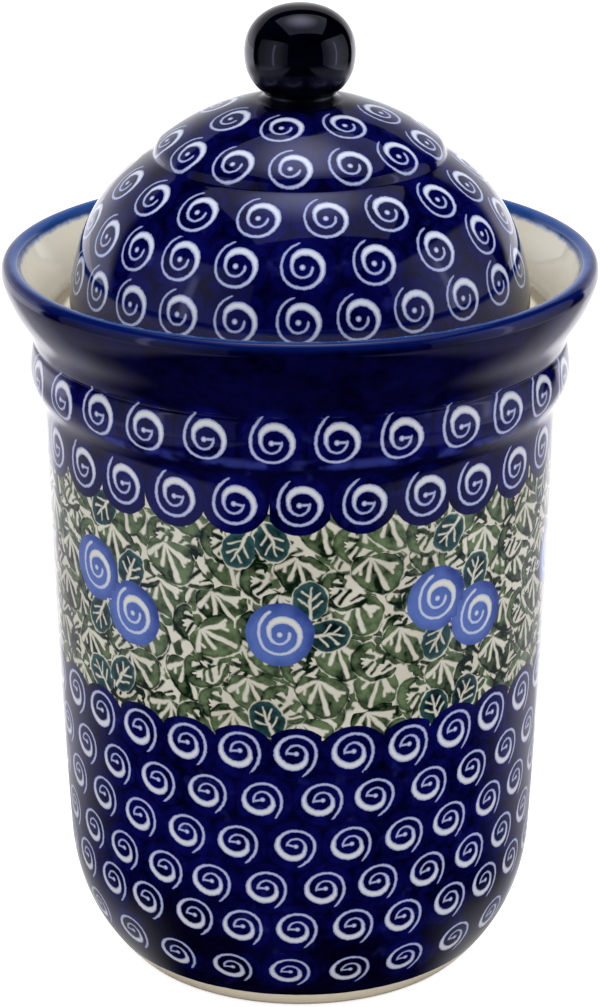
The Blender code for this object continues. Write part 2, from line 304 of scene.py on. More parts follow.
def glazed(rows, closed):
    """The section with its corners rounded as a glaze rounds them."""
    reach = int(4 * GLAZE_ROUND / FINE)
    weights = np.exp(-0.5 * (np.arange(-reach, reach + 1) * FINE / GLAZE_ROUND) ** 2)
    weights /= weights.sum()
    out = rows.copy()
    for column, kind in ((0, "odd"), (1, "even")):
        if closed:
            wide = np.pad(rows[:, column], reach, mode="wrap")
        else:
            wide = np.pad(rows[:, column], reach, mode="reflect", reflect_type=kind)
        out[:, column] = np.convolve(wide, weights, mode="valid")
    return out


def thinned(rows, most):
    """The rows that are kept: no two further apart than most, nor the line turning more than MOST_TURN between."""
    way = np.arctan2(np.gradient(rows[:, 1]), np.gradient(rows[:, 0]))
    turning = np.abs(np.angle(np.exp(1j * np.diff(way))))
    step = np.hypot(*np.diff(rows[:, :2], axis=0).T)
    kept = [0]
    length = turn = 0.0
    for index in range(1, len(rows) - 1):
        length += step[index - 1]
        turn += turning[index - 1]
        if length >= most(rows[index, 2]) or turn >= MOST_TURN:
            kept.append(index)
            length = turn = 0.0
    return rows[kept + [len(rows) - 1]]


def placed(name, data):
    """A new object in the scene."""
    thing = bpy.data.objects.new(name, data)
    scene.collection.objects.link(thing)
    return thing


def turned(name, rows, segments, height, closed=False):
    """A mesh object turned about Z, and for each of its face corners (angle, length along the section)."""
    radius, z, q = rows.T
    count = len(rows)
    angle = np.arange(segments) * 2 * np.pi / segments
    poles = [] if closed else [0, count - 1]
    points, index = [], np.zeros((count, segments), int)
    for row in range(count):
        if row in poles:
            index[row] = len(points)
            points.append((0.0, 0.0, z[row] + height))
        else:
            index[row] = len(points) + np.arange(segments)
            level = [z[row] + height] * segments
            points += list(zip(radius[row] * np.sin(angle), -radius[row] * np.cos(angle), level))
    faces, corners = [], []
    for row in range(count if closed else count - 1):
        up = (row + 1) % count
        for column in range(segments):
            side = (column + 1) % segments
            ring = [(row, column, column), (row, side, column + 1), (up, side, column + 1), (up, column, column)]
            if row in poles:
                del ring[1]
            elif up in poles:
                del ring[3]
            faces.append([index[at[:2]] for at in ring])
            corners += [(2 * np.pi * turn / segments, q[level]) for level, _, turn in ring]
    mesh = bpy.data.meshes.new(name)
    mesh.from_pydata(points, [], faces)
    mesh.shade_smooth()
    return placed(name, mesh), np.array(corners)


# ------ stamps on the surface

# what a corner holds that lies on no stamp
FAR_AWAY = (99.0, 99.0, 0.0)
# how much longer along a curve than straight a place on a stamp may count
MOST_STRETCH = 1.3
FACES_AT_ONCE = 4000


class Skin:
    """A turned outside with a place for every length along it and every angle round it, in millimetres."""

    def __init__(self, rows, height):
        self.rows = rows / MM
        self.rows[:, 1] += height / MM

    def section(self, q):
        """Radius and height there."""
        return [np.interp(q, self.rows[:, 2], self.rows[:, column]) for column in (0, 1)]

    def place(self, angle, q):
        """The point there, and the directions round and up the surface."""
        radius, z = self.section(q)
        slope = np.subtract(self.section(q + 0.5), self.section(q - 0.5))
        slope /= np.hypot(*slope)
        out = np.array([math.sin(angle), -math.cos(angle), 0])
        east = np.array([math.cos(angle), math.sin(angle), 0])
        return radius * out + [0, 0, z], east, slope[0] * out + [0, 0, slope[1]]


def write_corners(piece, name, values):
    """Gives every face corner three numbers under that name."""
    piece.data.attributes.new(name, "FLOAT_VECTOR", "CORNER").data.foreach_set("vector", values.ravel())


def stamp_layer(piece, name, skin, stamps, reach, face_at, corner_points, shown):
    """Writes, for every face corner, its place in the frame of the nearest stamp, with the stamp's own value.

    A stamp is (angle, q, turn, offset, value): offset is from the stamp's origin to the middle of its cell, and
    value is a spiral's size, a scallop's radius in millimetres, or a leaf's tone.
    """
    data = np.full((len(corner_points), 3), FAR_AWAY)
    frames = []
    for angle, q, turn, offset, value in stamps:
        point, east, up = skin.place(angle, q)
        x_axis = math.cos(turn) * east + math.sin(turn) * up
        y_axis = -math.sin(turn) * east + math.cos(turn) * up
        frames.append((point, point + offset[0] * x_axis + offset[1] * y_axis, (x_axis, y_axis), value))
    origins, middles, axes, own_values = map(np.array, zip(*frames))
    face_of = np.repeat(np.arange(len(face_at)), shown["sizes"])
    nearest = np.zeros(len(face_at), int)
    near = np.zeros(len(face_at))
    for start in range(0, len(face_at), FACES_AT_ONCE):
        some = slice(start, start + FACES_AT_ONCE)
        gap = np.linalg.norm(face_at[some, None] - middles[None], axis=2)
        nearest[some] = gap.argmin(1)
        near[some] = gap.min(1)
    good = ((near < reach) & shown["outside"])[face_of]
    mine = nearest[face_of]
    way = corner_points - origins[mine]
    flat = np.stack([(way * axes[mine, axis]).sum(1) for axis in (0, 1)], 1)
    stretch = np.linalg.norm(way, axis=1) / np.maximum(np.linalg.norm(flat, axis=1), 1e-6)
    data[good, :2] = (flat * np.minimum(stretch, MOST_STRETCH)[:, None])[good]
    data[good, 2] = own_values[mine][good]
    write_corners(piece, name, data)


def mesh_places(piece, corners, low, high):
    """Each face's centre and each corner's point in millimetres, and which faces lie on the outside."""
    mesh = piece.data
    points = np.empty(len(mesh.vertices) * 3)
    mesh.vertices.foreach_get("co", points)
    points = points.reshape(-1, 3) / MM
    owner = np.empty(len(mesh.loops), int)
    mesh.loops.foreach_get("vertex_index", owner)
    sizes = np.empty(len(mesh.polygons), int)
    mesh.polygons.foreach_get("loop_total", sizes)
    starts = np.concatenate([[0], np.cumsum(sizes)[:-1]])
    centres = np.add.reduceat(points[owner], starts) / sizes[:, None]
    lengths = np.add.reduceat(corners[:, 1] / MM, starts) / sizes
    radii = np.hypot(*points[owner].T[:2])
    write_corners(piece, "place", np.stack([corners[:, 0], corners[:, 1] / MM, radii], 1))
    return centres, points[owner], {"sizes": sizes, "outside": (lengths > low) & (lengths < high)}


# ------ numbers and colours in material nodes


def put(socket, value):
    """Gives a node's input a linked value or a plain one."""
    if isinstance(value, Number):
        value.tree.links.new(value.socket, socket)
    elif isinstance(value, tuple):
        socket.default_value = (*value, 1) if len(value) == 3 and socket.type == "RGBA" else value
    else:
        socket.default_value = value


class Number:
    """A value in a material's nodes. Arithmetic with it adds Math nodes."""

    def __init__(self, tree, socket):
        self.tree = tree
        self.socket = socket

    def math(self, operation, *others, clamp=False):
        node = self.tree.nodes.new("ShaderNodeMath")
        node.operation = operation
        node.use_clamp = clamp
        for socket, value in zip(node.inputs, (self, *others)):
            put(socket, value)
        return Number(self.tree, node.outputs[0])

    __add__ = partialmethod(math, "ADD")
    __sub__ = partialmethod(math, "SUBTRACT")
    __mul__ = partialmethod(math, "MULTIPLY")
    __truediv__ = partialmethod(math, "DIVIDE")
    clamped = partialmethod(math, "ADD", 0.0, clamp=True)
    size = partialmethod(math, "ABSOLUTE")
    most = partialmethod(math, "MAXIMUM")
    least = partialmethod(math, "MINIMUM")

    def __rsub__(self, other):
        return self * -1.0 + other

    def ramp(self, low, high):
        """0 at low and 1 at high, with a soft start and end. low may be above high."""
        node = self.tree.nodes.new("ShaderNodeMapRange")
        node.interpolation_type = "SMOOTHSTEP"
        put(node.inputs[0], self)
        put(node.inputs[1], low)
        put(node.inputs[2], high)
        return Number(self.tree, node.outputs[0])

    def curve(self, points):
        """The value of a curve through those points at this number."""
        low, high = points[0][0], points[-1][0]
        top = max(value for _, value in points)
        node = self.tree.nodes.new("ShaderNodeFloatCurve")
        line = node.mapping.curves[0]
        while len(line.points) < len(points):
            line.points.new(0.5, 0.5)
        for point, (at, value) in zip(line.points, points):
            point.location = ((at - low) / (high - low), value / top)
            point.handle_type = "AUTO"
        node.mapping.update()
        put(node.inputs[1], (self - low) / (high - low))
        return Number(self.tree, node.outputs[0]) * top


def distance(x, y):
    return (x * x + y * y).math("SQRT")


def coordinates(tree, kind):
    """Where a point lies, or where a ray to the world goes."""
    return Number(tree, tree.nodes.new("ShaderNodeTexCoord").outputs[kind])


def split(vector):
    """A vector's three numbers."""
    node = vector.tree.nodes.new("ShaderNodeSeparateXYZ")
    put(node.inputs[0], vector)
    return [Number(vector.tree, output) for output in node.outputs]


def mix(factor, under, over):
    """One colour over another."""
    node = factor.tree.nodes.new("ShaderNodeMix")
    node.data_type = "RGBA"
    put(node.inputs[0], factor)
    put(node.inputs[6], under)
    put(node.inputs[7], over)
    return Number(factor.tree, node.outputs[2])


def srgb(*levels):
    """A colour given as it shows on a screen, in 0 to 255, as linear light."""
    shares = [level / 255 for level in levels]
    return tuple(s / 12.92 if s <= 0.04045 else ((s + 0.055) / 1.055) ** 2.4 for s in shares)


def layer(tree, name):
    """A corner attribute, as a vector and its three numbers."""
    node = tree.nodes.new("ShaderNodeAttribute")
    node.attribute_name = name
    vector = Number(tree, node.outputs["Vector"])
    return [vector, *split(vector)]


SMALLEST_STAMP = 0.5


def sized_stamp(tree):
    """The place in the nearest spiral's frame, stretched to the size that it is drawn for."""
    _, x, y, size = layer(tree, "stamp")
    size = size.most(SMALLEST_STAMP)
    # a smaller stamp is narrowed only half as much as it is lowered
    return x / (size * 0.5 + 0.5), y / size


def noise(tree, size, seed, detail=2, rough=0.5):
    """Smooth noise from 0 to 1 in the object's own space, with features about size millimetres across."""
    node = tree.nodes.new("ShaderNodeTexNoise")
    node.noise_dimensions = "4D"
    put(node.inputs["Vector"], coordinates(tree, "Object"))
    node.inputs["W"].default_value = seed
    node.inputs["Scale"].default_value = 1 / (size * MM)
    node.inputs["Detail"].default_value = detail
    node.inputs["Roughness"].default_value = rough
    return Number(tree, node.outputs[0])


# ------ drawings of the stamps, in millimetres

ARM_START = -20.0
SPIRAL_TURNS = (-20, -8, 0, 90, 180, 225, 270, 315, 360, 405, 450, 495, 540, 585)


def arm(last_turns, radii, widths):
    """A spiral from its dot outwards: degrees turned, radius and width. A width below 0 is past its end."""
    return list(zip((*SPIRAL_TURNS, *last_turns), radii, widths))


JAR_SPIRAL = arm(
    (612, 620, 700),
    (2.9, 2.8, 2.7, 2.73, 2.8, 3.6, 4.35, 4.95, 5.5, 5.55, 5.6, 5.65, 5.5, 6.2, 7.3, 7.6, 8.5),
    (-0.4, 0.5, 0.8, 0.75, 1.25, 1.8, 2.3, 2.2, 1.75, 1.15, 0.95, 1.0, 1.0, 1.0, 0.55, -0.4, -0.4),
)
LID_SPIRAL = arm(
    (618, 628, 700),
    (2.6, 2.6, 2.6, 2.7, 2.8, 3.5, 4.2, 4.8, 5.35, 5.5, 5.5, 5.6, 5.5, 6.0, 6.6, 6.8, 7.5),
    (-0.4, 0.5, 0.85, 0.75, 1.1, 1.6, 2.1, 2.1, 1.6, 1.1, 0.9, 0.85, 0.8, 0.75, 0.55, -0.4, -0.4),
)
BLOSSOM_SPIRAL = arm(
    (612, 622, 700),
    (2.6, 2.6, 2.6, 2.7, 2.8, 3.5, 4.2, 4.8, 5.35, 5.6, 5.7, 5.75, 5.6, 6.3, 7.0, 7.2, 8.0),
    (-0.4, 0.6, 0.95, 0.8, 1.25, 1.7, 2.2, 2.2, 1.7, 1.2, 0.9, 0.85, 0.9, 1.0, 1.1, -0.4, -0.4),
)
DOT_RADIUS = 0.8
# the short bar inside a hooked spiral: its middle and half its length and width
HOOK_MIDDLE = (1.4, 0.05)
HOOK_HALF = (1.5, 0.42)
# added to a stroke's width while its curve is looked up, because a curve node holds no number below 0
STROKE_LIFT = 0.4
FAN_EDGE = [
    (-180, 0), (-112, 0.3), (-100, 3.6), (-88, 4.6), (-70, 5.9), (-54, 7.2), (-35, 8.1), (-15, 9.3), (6, 11.1),
    (20, 12.3), (33, 12.4), (45, 11.6), (58, 10.6), (70, 9.6), (82, 7.6), (92, 5.2), (102, 3.2), (112, 0.3), (180, 0),
]
FAN_VEINS = (
    (0.4, -0.8, 0.8, 5.6, -3.9, 2.2), (4.6, -3.2, 1.2, 7.4, -3.6, 0.9), (4.6, -3.6, 1.0, 5.8, -5.9, 0.9),
    (0.4, -1.2, 0.9, 4.0, -10.0, 1.5), (0.1, -0.6, 0.9, -1.0, -6.6, 1.4),
    (-0.4, -0.5, 0.8, -4.9, -3.9, 1.6), (-3.0, -2.6, 0.8, -2.9, -4.6, 0.9),
)
FAN_SHADE = ((0.9, -4.0, 0.8, 2.0, -9.2, 2.6),)
COMB_MIDDLE = (-8.5, -9.0)
COMB_EDGE = [
    (-180, 6.0), (-172, 6.1), (-154, 6.4), (-131, 6.4), (-109, 6.2), (-83, 5.8), (-58, 5.4), (-27, 5.2), (0, 5.8),
    (27, 6.2), (60, 7.5), (68, 7.0), (74, 0.0), (160, 0.0), (167, 5.0), (180, 6.0),
]
COMB_HOLLOW = [
    (-180, 3.9), (-168, 4.0), (-154, 3.8), (-140, 2.9), (-130, 2.3), (-119, 3.4), (-105, 2.4), (-92, 3.0),
    (-78, 2.3), (-65, 3.0), (-50, 2.8), (-33, 3.6), (4, 4.5), (33, 5.0), (66, 6.7), (74, 9.0), (160, 9.0), (166, 3.0),
    (180, 3.9),
]
COMB_TEETH = (
    (-10.6, -6.4, 1.1, -8.4, -7.3, 1.5), (-10.6, -10.7, 1.2, -8.6, -8.9, 0.9), (-8.9, -12.3, 0.9, -6.3, -8.9, 1.15),
    (-5.9, -12.2, 0.6, -3.4, -10.8, 0.95),
)
COMB_CLEARANCE = 0.8
OVAL = (4.6, 5.6)
OVAL_VEINS = (
    (0.5, 5.2, 1.0, 0.2, 0.5, 0.85), (0.2, 0.5, 0.85, -0.7, -3.8, 0.45), (0.3, 2.8, 0.5, -3.0, 0.6, 0.65),
    (0.1, 0.4, 0.5, -2.8, -2.0, 0.6), (0.4, 1.7, 0.5, 3.0, -0.9, 0.65), (-0.1, -0.9, 0.45, 1.7, -3.3, 0.55),
)


def polar(x, y, zero):
    """Distance, and the angle in degrees clockwise from 3 o'clock, from zero up to zero + 360."""
    turn = y.math("ARCTAN2", x) * (-180 / math.pi)
    return distance(x, y), (turn - zero).math("FLOORED_MODULO", 360.0) + zero


def spiral(x, y, drawing, wobble, hooked):
    """How far inside the spiral's stroke a point is, in millimetres; below 0 outside."""
    far, turn = polar(x, y, ARM_START)
    inside = None
    for lap in (0, 360):
        at = turn + float(lap)
        centre = at.curve([(a, r) for a, r, _ in drawing])
        width = at.curve([(a, w + STROKE_LIFT) for a, _, w in drawing]) - STROKE_LIFT
        depth = width * 0.5 - (far + wobble - centre).size()
        inside = depth if inside is None else inside.most(depth)
    inside = inside.most(DOT_RADIUS - far)
    if hooked:
        across = HOOK_HALF[1] - (y - HOOK_MIDDLE[1]).size()
        inside = inside.most(across.least(HOOK_HALF[0] - (x - HOOK_MIDDLE[0]).size()))
    return inside


def vector_math(operation, *values):
    """A Vector Math node's first output, or its number for a dot product. The first value is linked."""
    tree = values[0].tree
    node = tree.nodes.new("ShaderNodeVectorMath")
    node.operation = operation
    for socket, value in zip(node.inputs, values):
        put(socket, value)
    return Number(tree, node.outputs[1 if operation == "DOT_PRODUCT" else 0])


def strokes(spot, lines):
    """How far inside the nearest of some straight strokes a point is, each (x, y, width, x, y, width)."""
    inside = None
    for x0, y0, width0, x1, y1, width1 in lines:
        length = math.hypot(x1 - x0, y1 - y0)
        way = ((x1 - x0) / length, (y1 - y0) / length, 0.0)
        from_start = vector_math("SUBTRACT", spot, (x0, y0, 0.0))
        ahead = vector_math("DOT_PRODUCT", from_start, way)
        aside = vector_math("DOT_PRODUCT", from_start, (-way[1], way[0], 0.0)).size()
        half = ahead * ((width1 - width0) / 2 / length) + width0 / 2
        past = ((ahead - length / 2).size() - length / 2).most(0.0)
        depth = half - distance(aside, past)
        inside = depth if inside is None else inside.most(depth)
    return inside


def bearing(x, y):
    """Distance, and the angle in degrees from straight down, positive to the right."""
    return distance(x, y), x.math("ARCTAN2", y * -1.0) * (180 / math.pi)


def bent(spot, amount):
    """A stamp's own coordinates, bent a little by noise, as vector, x and y."""
    tree = spot.tree
    shift = tree.nodes.new("ShaderNodeCombineXYZ")
    for socket, seed in zip(shift.inputs, (31, 37)):
        put(socket, (noise(tree, 3.2, seed, 1) - 0.5) * amount)
    spot = vector_math("ADD", spot, Number(tree, shift.outputs[0]))
    return (spot, *split(spot)[:2])


def leaf_pair(spot, x, y, wobble):
    """How far a point is inside the two-leaf stamp's paint, in from its edge, inside its area and in its shade."""
    far, turn = bearing(x, y)
    fan = turn.curve(FAN_EDGE) - far + wobble
    veins = strokes(spot, FAN_VEINS) + wobble
    dark = strokes(spot, FAN_SHADE)
    far, turn = bearing(x - COMB_MIDDLE[0], y - COMB_MIDDLE[1])
    comb = turn.curve(COMB_EDGE) - far + wobble
    hollow = far - turn.curve(COMB_HOLLOW) + wobble
    teeth = strokes(spot, COMB_TEETH) + wobble
    comb_paint = comb.least(hollow).most(teeth)
    fan_paint = fan.least(veins * -1.0)
    # the comb keeps clear of the fan beside it
    paint = fan_paint.most(comb_paint.least(fan * -1.0 - COMB_CLEARANCE))
    return paint, fan.most(comb.least(hollow)), fan.most(comb), dark


def oval_leaf(spot, x, y, wobble):
    """How far inside the small oval leaf's paint a point is, and how far in from its edge."""
    edge = (distance(x / OVAL[0], y / OVAL[1]) * -1.0 + 1.0) * OVAL[0] + wobble
    return edge.least((strokes(spot, OVAL_VEINS) + wobble) * -1.0), edge


# ------ the glaze materials

COBALT_DEEP = srgb(0, 0, 14)
COBALT = srgb(5, 4, 52)
COBALT_LIGHT = srgb(36, 42, 112)
# deep cobalt: pooled low on the jar, and painted shade and reflection of the knob on the lid's crown
COBALT_POOLED_AND_SHADE = srgb(1, 0, 12)
DISC_DEEP = srgb(0, 0, 30)
DISC = srgb(8, 9, 82)
CREAM = srgb(200, 199, 184)
CREAM_WARM = srgb(182, 179, 162)
FOOT_CREAM = srgb(238, 229, 203)
INSIDE_CREAM = srgb(251, 245, 224)
GAP_PAINTED_SHADE = srgb(136, 123, 98)
STROKE = srgb(197, 199, 198)
STROKE_EDGE = srgb(120, 131, 180)
BLOSSOM_EDGE = srgb(150, 165, 200)
LID_STROKE = srgb(198, 204, 214)
SAGE = srgb(92, 110, 78)
SAGE_DARK = srgb(8, 25, 13)
TEAL = srgb(44, 78, 78)
TEAL_DARK = srgb(2, 16, 22)
BLOSSOM = srgb(78, 100, 162)
BLOSSOM_DARK = srgb(40, 58, 122)
LIP_BLUE = srgb(4, 18, 76)
LIP_THIN_GLAZE_AND_HIGHLIGHT = srgb(38, 74, 140)
FRINGE = srgb(140, 158, 200)
BISCUIT = srgb(198, 192, 168)
BEAD_HAZE_AND_SHEEN = srgb(52, 62, 140)
KNOB_DARK = srgb(0, 0, 3)
KNOB_LIGHT = srgb(2, 2, 12)
GLAZE_IOR = 1.54
CLAY_ROUGHNESS = 0.6
JAR_ROUGHNESS = 0.04
LID_ROUGHNESS = 0.035
KNOB_ROUGHNESS = 0.03
# where the disc of thicker paint that each spiral lies on fades, and where a blossom ends, in millimetres
DISC_EDGE = (9.9, 8.7)
BLOSSOM_EDGE_AT = (9.45, 9.1)
LEAF_LAYERS = ("leaf_under", "leaf_a", "leaf_b", "leaf_c")


def fine_grain(tree):
    """The fine unevenness of hand-stamped paint, about 0."""
    return noise(tree, 1.6, 11) - 0.5


def ragged_edge(tree, amount):
    """How much a spiral's stroke wanders sideways, in millimetres."""
    return (noise(tree, 1, 15, 1.5, 0.6) - 0.5) * amount


def new_material(name):
    """An empty node material: its tree and its principled shader."""
    material = bpy.data.materials.new(name)
    material.use_nodes = True
    return material, material.node_tree, material.node_tree.nodes["Principled BSDF"]


def finish_glaze(tree, shader, colour, rough, bare=None, tint=(0.6, 0.62, 1)):
    """The gloss of a fired glaze, a little uneven, with the bare clay dull."""
    put(shader.inputs["Base Color"], colour)
    shader.inputs["IOR"].default_value = GLAZE_IOR
    shader.inputs["Specular Tint"].default_value = (*tint, 1)
    uneven = noise(tree, 9, 3) * 0.03 + rough
    if bare is not None:
        uneven = uneven + bare * CLAY_ROUGHNESS
    put(shader.inputs["Roughness"], uneven)
    bump = tree.nodes.new("ShaderNodeBump")
    bump.inputs["Strength"].default_value = 0.25
    bump.inputs["Distance"].default_value = 0.0006
    put(bump.inputs["Height"], noise(tree, 14, 7, 1, 0.4) + noise(tree, 2.2, 9, 1, 0.4) * 0.04)
    tree.links.new(bump.outputs[0], shader.inputs["Normal"])


def cobalt(tree, far, spotty=1.0):
    """The blue paint with its cloudy depth, a little brighter on the disc that each stamp lies on."""
    cloud = noise(tree, 18, 1, 3, 0.55).ramp(0.35, 0.66)
    fine = noise(tree, 2.8, 2, 3, 0.6).ramp(0.3, 0.72)
    ground = mix(cloud * 0.55 + fine * 0.45, COBALT_DEEP, COBALT)
    disc = mix(cloud * 0.4 + fine * 0.6, DISC_DEEP, DISC)
    blue = mix((far + fine * 0.8).ramp(*DISC_EDGE) * 0.9, ground, disc)
    spots = noise(tree, 6, 5, 2, 0.6).ramp(0.58, 0.8)
    return mix(spots * 0.45 * spotty, blue, COBALT_LIGHT)


def stroked(ground, inside, bare=STROKE, edge=STROKE_EDGE):
    """A ground colour with a stroke left bare in it, bluish where it is thin and at its soft edges."""
    line = mix(inside.ramp(0.0, 0.8), edge, bare)
    return mix(inside.ramp(-0.12, 0.16), ground, line)


def jar_material():
    material, tree, shader = new_material("jar_glaze_pattern")
    _, _, q, radius = layer(tree, "place")
    grain = fine_grain(tree)
    coarse = noise(tree, 5, 13) - 0.5
    wobble = grain * 0.5
    ragged = ragged_edge(tree, 0.55)

    ground = mix(noise(tree, 25, 17).ramp(0.3, 0.7), CREAM, CREAM_WARM)
    ground = mix(q.ramp(10, 8), ground, FOOT_CREAM)
    dabs = noise(tree, 4.4, 61, 1).ramp(0.5, 0.56) * q.ramp(60, 61)
    colour = mix(dabs, ground, mix(coarse * 2.0 + 0.5, SAGE, SAGE_DARK))
    for name in LEAF_LAYERS:
        spot, _, _, tone = layer(tree, name)
        spot, x, y = bent(spot, 1.5)
        inside, edge, area, dark = leaf_pair(spot, x, y, wobble)
        deep = edge.ramp(1.3, 0.1) * 0.4 + grain * 1.3 + (tone - 0.5) * 0.5 + coarse * 2.6 + 0.5
        deep = deep + dark.ramp(-0.6, 0.6) * 0.3
        paint = mix(deep.clamped(), SAGE, SAGE_DARK)
        halo = coarse * 3.6 + grain * 1.4 + 0.1
        colour = mix(area.ramp(halo - 0.35, halo), colour, ground)
        colour = mix(inside.ramp(-0.35, 0.3), colour, paint)
    spot, _, _, tone = layer(tree, "teal")
    spot, x, y = bent(spot, 1.6)
    inside, edge = oval_leaf(spot, x, y, wobble)
    deep = coarse * 1.6 + grain + (tone - 0.5) * 0.4 + edge.ramp(0.3, 1.6) * 0.35 + 0.3
    paint = mix(deep.clamped(), TEAL, TEAL_DARK)
    halo = coarse * 2.0 + grain * 0.8 - 0.15
    colour = mix(edge.ramp(halo - 0.3, halo), colour, ground)
    colour = mix(inside.ramp(-0.3, 0.25), colour, paint)

    _, x, y, _ = layer(tree, "blossom")
    far = distance(x, y) + coarse * 0.9
    pooled = far.ramp(6, 9) * 0.45 + coarse * 1.2 + (x * 0.5 + y * 0.3) * 0.07 + 0.1
    disc = mix(pooled.clamped(), BLOSSOM, BLOSSOM_DARK)
    disc = stroked(disc, spiral(x, y, BLOSSOM_SPIRAL, ragged, False), CREAM, BLOSSOM_EDGE)
    colour = mix(far.ramp(*BLOSSOM_EDGE_AT), colour, disc)

    _, x, y, radius_here = layer(tree, "scallop")
    round_edge = radius_here - distance(x, y) + wobble * 0.6
    band = ((q - BAND_MIDDLE).size() - BAND_HALF).most(round_edge)
    band = band.least(q - (FOOT_LINE - coarse * 0.6))
    x, y = sized_stamp(tree)
    # the flared rim has hardly any spots
    blue = cobalt(tree, distance(x, y), q.ramp(191, 186) * 0.9 + 0.1)
    low = noise(tree, 16, 51).ramp(0.44, 0.6) * q.ramp(50, 30)
    blue = mix(low * 0.85, blue, COBALT_POOLED_AND_SHADE)
    # the collar's lower bead: light blue patches of thin glaze, and a painted sheen where the bead catches the light
    # from above
    bead_haze_and_sheen = (q - BEAD_Q).size().ramp(2.6, 0.4) * noise(tree, 7, 41, 2, 0.6).ramp(0.42, 0.62)
    blue = mix(bead_haze_and_sheen * 0.55, blue, BEAD_HAZE_AND_SHEEN)
    blue = mix((q - LIP_BLUE_Q + coarse * 1.5).ramp(-0.8, 1.5), blue, LIP_BLUE)
    # the lip's top: lighter where the glaze is thin on the edge, with a painted highlight of the light along the edge
    blue = mix((q - LIP_TOP_Q + coarse * 0.8).ramp(-1.2, 0.4), blue, LIP_THIN_GLAZE_AND_HIGHLIGHT)
    blue = stroked(blue, spiral(x, y, JAR_SPIRAL, ragged, True))
    colour = mix(band.ramp(-0.14, 0.14), colour, blue)

    inner = q - (FRINGE_Q - coarse * 1.2 - grain * 0.8)
    colour = mix(inner.ramp(-0.3, 0.5), colour, FRINGE)
    # painted shade in the gap beside the lid: the ledge's corner under the rim is darkened to brown
    corner = (radius + coarse * 0.8 - GAP_SHADE_RADIUS).size().ramp(2.9, 1.0)
    corner = corner * q.ramp(MOUTH_Q + 1.0, MOUTH_Q)
    inner_colour = mix(corner * 0.95, INSIDE_CREAM, GAP_PAINTED_SHADE)
    colour = mix(inner.ramp(0.2, 1.6), colour, inner_colour)
    bare = q.ramp(0.6, 0.2)
    colour = mix(bare, colour, BISCUIT)
    finish_glaze(tree, shader, colour, JAR_ROUGHNESS, bare)
    return material


def lid_material():
    material, tree, shader = new_material("lid_glaze_pattern")
    _, _, q, _ = layer(tree, "place")
    grain = fine_grain(tree)
    x, y = sized_stamp(tree)
    ragged = ragged_edge(tree, 0.5)
    blue = cobalt(tree, distance(x, y))
    colour = stroked(blue, spiral(x, y, LID_SPIRAL, ragged, False), LID_STROKE)
    # painted shade and reflection of the knob: the crown darkens to near black round the knob's neck
    colour = mix(q.ramp(LID_TOP_Q - 5.5, LID_TOP_Q - 1.0) * 0.85, colour, COBALT_POOLED_AND_SHADE)
    inside = (q - grain * 1.5).ramp(3.2, 2.6).most(q.ramp(LID_INSIDE_Q, LID_INSIDE_Q + 1.0))
    colour = mix(inside, colour, INSIDE_CREAM)
    bare = q.ramp(0.8, 0.4).most(q.ramp(LID_BARE_Q - 0.3, LID_BARE_Q + 0.3))
    colour = mix(bare, colour, BISCUIT)
    finish_glaze(tree, shader, colour, LID_ROUGHNESS, bare)
    return material


KNOB_BOTTOM = SEAT_HEIGHT + knob_seat_height() + SEAT_GAP
KNOB_MIDDLE = KNOB_BOTTOM + KNOB_NECK_HEIGHT - ball(0, KNOB_NECK_RADIUS)[-1][1]


def knob_material():
    material, tree, shader = new_material("knob_glaze_dark")
    cloud = noise(tree, 9, 21, 3, 0.55).ramp(0.3, 0.75)
    colour = mix(cloud, KNOB_DARK, KNOB_LIGHT)
    # the underside, where less glaze runs, is duller
    below = split(coordinates(tree, "Object"))[2].ramp(KNOB_MIDDLE - 0.0025, KNOB_MIDDLE - 0.0045)
    finish_glaze(tree, shader, colour, below * 0.2 + KNOB_ROUGHNESS, tint=(0.68, 0.69, 1))
    return material


# ------ the jar

# where the leaf band lies, in millimetres along the section, and how far apart the rings may be in metres
LEAF_BAND = (97.0, 153.0)
LEAF_SPACING = 0.0015
STAMP_SPACING = 0.002
PLAIN_SPACING = 0.004
STAMPED_LENGTH = 0.2


def jar_spacing(length):
    """How far apart the jar's rings may be at that length along the section."""
    if length < 0 or length > STAMPED_LENGTH:
        return PLAIN_SPACING
    return LEAF_SPACING if LEAF_BAND[0] * MM < length < LEAF_BAND[1] * MM else STAMP_SPACING


outside = dense(jar_outside())
under = dense(jar_underside()[::-1])
under[:, 2] *= -1
inside = dense(jar_inside(), outside[-1, 2])
jar_rows = np.concatenate([under[:0:-1], outside, inside[1:]])[::-1]
jar_skin = Skin(outside, 0.0)

# where one glaze ends and the next begins, in millimetres along the outside from the foot's edge
LIP_TOP_Q = outside[-1, 2] / MM
FOOT_LINE = 6.5
BAND_MIDDLE = 126.0
BAND_HALF = 36.0
LIP_BLUE_Q = LIP_TOP_Q - 3.5
BEAD_Q = 174.5
FRINGE_Q = LIP_TOP_Q + 3.4
# painted shade: a dark brown ring on the ledge in the corner under the rim, where the gap beside the lid lies in
# shadow
GAP_SHADE_RADIUS = 68.2
MOUTH_Q = LIP_TOP_Q + 34.0

jar, jar_corners = turned("jar_glazed", thinned(glazed(jar_rows, False), jar_spacing), SEGMENTS, 0.0)

random.seed(7)
CENTRED = (0, 0)


